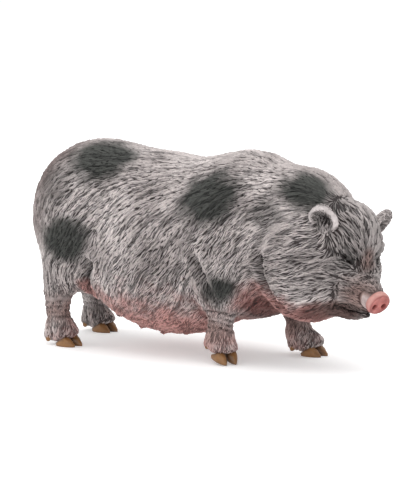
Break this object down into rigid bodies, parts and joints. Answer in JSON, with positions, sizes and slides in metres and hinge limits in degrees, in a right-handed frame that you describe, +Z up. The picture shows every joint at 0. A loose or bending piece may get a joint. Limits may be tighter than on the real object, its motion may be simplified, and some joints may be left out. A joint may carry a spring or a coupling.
{
  "type": "toy pot-bellied pig figure",
  "caption": "Solid painted plastic toy of a pot-bellied sow, mid-stride with its head low and turned, with sculpted bristles, small cupped ears, a flat snout and cloven hooves.",
  "frame": {"origin": "middle of the bounding box, on the floor under the soles of the hooves", "axes": "+X towards the snout, +Y to the animal's left, +Z up"},
  "size_m": [0.0886, 0.0338, 0.0409],
  "materials": {
    "coat": "moulded bristles: dark grey-brown wash in the grooves, pale lilac-grey dry brushing on the ridges, soft black spots, pink belly and throat",
    "snout_skin": "satin coral pink paint",
    "horn": "satin ochre brown paint, darker in the clefts",
    "eye": "gloss black-brown paint"
  },
  "bodies": {
    "root": {"trunk": "coat", "neck": "coat", "head": "coat", "tail": "coat", "ear_left": "coat", "ear_right": "coat", "snout": "snout_skin", "eye_left": "eye", "eye_right": "eye", "leg_fore_left": "coat", "hoof_fore_left_outer": "horn", "dewclaw_fore_left_outer": "horn", "hoof_fore_left_inner": "horn", "dewclaw_fore_left_inner": "horn", "leg_fore_right": "coat", "hoof_fore_right_outer": "horn", "dewclaw_fore_right_outer": "horn", "hoof_fore_right_inner": "horn", "dewclaw_fore_right_inner": "horn", "leg_hind_left": "coat", "hoof_hind_left_outer": "horn", "dewclaw_hind_left_outer": "horn", "hoof_hind_left_inner": "horn", "dewclaw_hind_left_inner": "horn", "leg_hind_right": "coat", "hoof_hind_right_outer": "horn", "dewclaw_hind_right_outer": "horn", "hoof_hind_right_inner": "horn", "dewclaw_hind_right_inner": "horn"}
  },
  "joints": []
}
